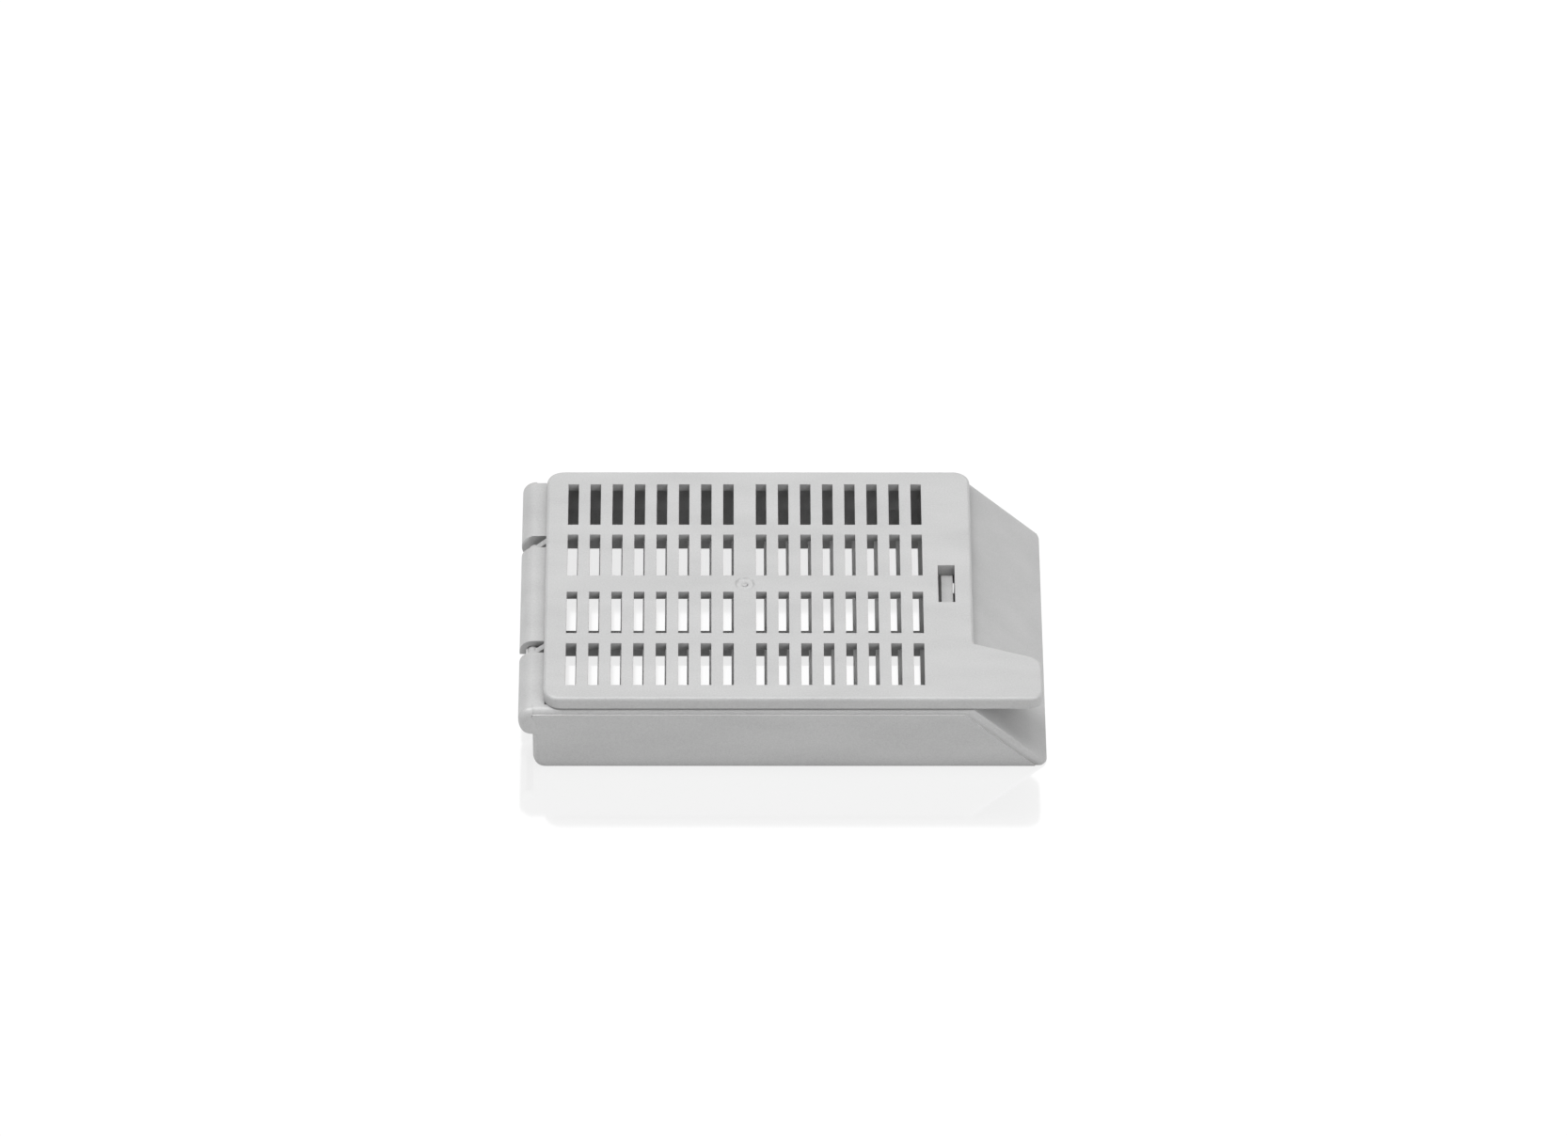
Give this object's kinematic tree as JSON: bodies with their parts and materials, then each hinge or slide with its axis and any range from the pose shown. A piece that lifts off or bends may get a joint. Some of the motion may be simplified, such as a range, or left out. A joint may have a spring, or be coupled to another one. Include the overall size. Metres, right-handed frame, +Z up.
{
  "type": "tissue cassette",
  "caption": "Shallow perforated histology cassette with a sloped writing face, and a slotted snap lid that hinges at the far end and has a finger tab.",
  "frame": {"origin": "centre of the closed cassette's footprint, on the surface that it stands on", "axes": "+X from the hinge towards the writing slope, +Y across the cassette away from the finger tab, +Z up"},
  "size_m": [0.041, 0.0286, 0.0066],
  "materials": {
    "base": "fine matt mould texture, grey acetal",
    "lid": "fine matt mould texture, grey acetal"
  },
  "bodies": {
    "base": {"base": "base"},
    "lid": {"lid": "lid"}
  },
  "joints": [
    {"name": "lid_hinge", "type": "hinge", "parent": "base", "child": "lid", "pos_m": [-0.01945, 0, 0.0045], "axis": [0, -1, 0], "range_deg": [0, 180]}
  ]
}
